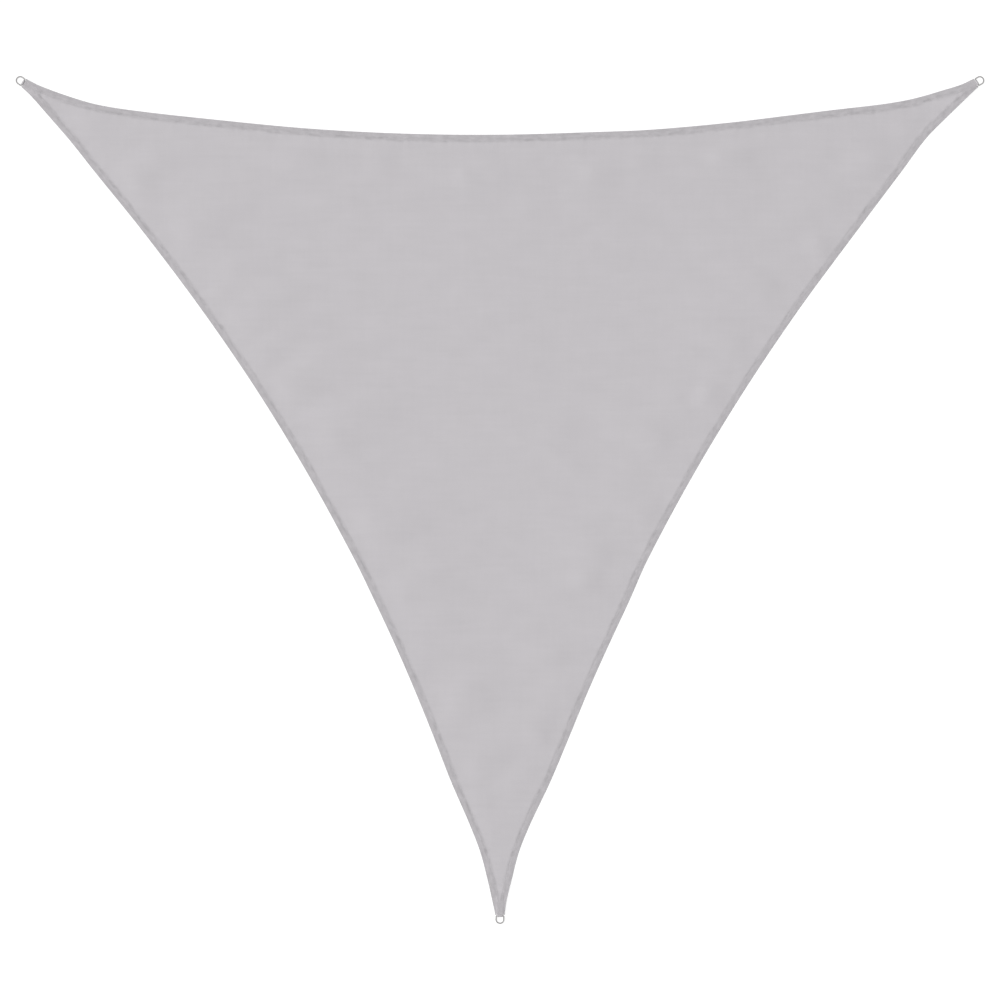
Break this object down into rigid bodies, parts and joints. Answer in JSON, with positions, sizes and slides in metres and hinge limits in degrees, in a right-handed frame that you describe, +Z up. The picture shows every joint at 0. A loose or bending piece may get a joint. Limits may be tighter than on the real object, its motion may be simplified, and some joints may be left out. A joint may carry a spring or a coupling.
{
  "type": "shade sail",
  "caption": "Triangular cloth shade sail with hollow-cut, hemmed edges, drawn out flat, and a bent-wire D-ring held by a webbing tab at each corner.",
  "frame": {"origin": "on the floor under the middle of the whole outline, rings included", "axes": "+Z up from the floor, through the cloth; +Y from the front corner towards the middle of the back edge; +X to the right as seen from the front corner"},
  "size_m": [3.6018, 3.1527, 0.0089],
  "materials": {
    "cloth": "matt woven polyester, coated",
    "webbing": "plain woven strap",
    "steel": "bright stainless wire"
  },
  "bodies": {
    "root": {"sail": "cloth", "tab_left": "webbing", "tab_right": "webbing", "tab_front": "webbing", "ring_left": "steel", "ring_right": "steel", "ring_front": "steel"}
  },
  "joints": []
}
